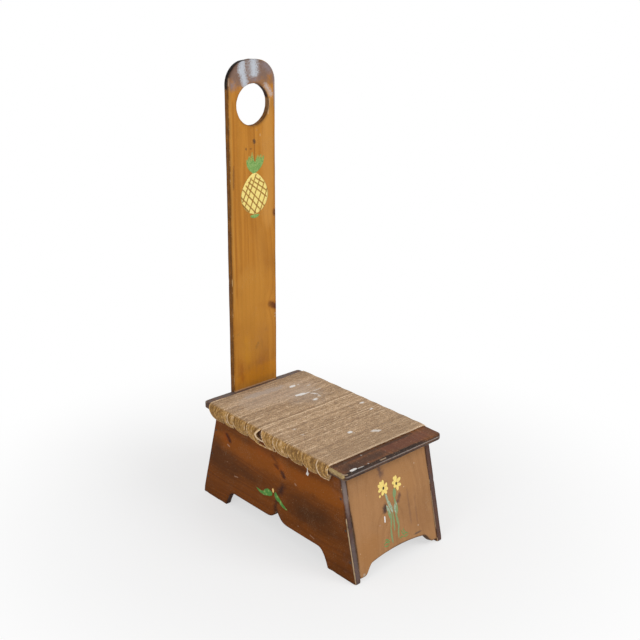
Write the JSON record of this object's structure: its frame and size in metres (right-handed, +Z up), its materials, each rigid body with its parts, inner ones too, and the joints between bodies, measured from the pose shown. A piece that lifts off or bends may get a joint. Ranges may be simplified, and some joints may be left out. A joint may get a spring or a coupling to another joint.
{
  "type": "spinning chair",
  "caption": "Low box stool with splayed ends, bracket feet and a cord-wound seat, with a tall narrow back plank that has a round hand hole.",
  "frame": {"origin": "centre of the footprint, on the floor", "axes": "+Z up, -Y towards the front panel with the small arch, +Y towards the back plank, +X to the right of someone looking along +Y"},
  "size_m": [0.2516, 0.447, 0.8541],
  "materials": {
    "seat_wood": "dark varnish, rubbed",
    "side_wood": "dark stained varnish",
    "front_wood": "tan stained varnish",
    "plank_wood": "amber varnish",
    "raw_wood": "unfinished",
    "cord": "twisted fibre cord",
    "steel": "dull, darkened"
  },
  "bodies": {
    "root": {"seat_board": "seat_wood", "seat_cord": "cord", "left_side_panel": "side_wood", "right_side_panel": "side_wood", "front_panel": "front_wood", "rear_panel": "side_wood", "back_plank": "plank_wood", "wedge_block": "raw_wood", "front_left_block": "raw_wood", "front_right_block": "raw_wood", "rear_left_block": "raw_wood", "rear_right_block": "raw_wood", "corner_nail_set": "steel", "seat_nail_set": "steel", "plank_screw_set": "steel"}
  },
  "joints": []
}
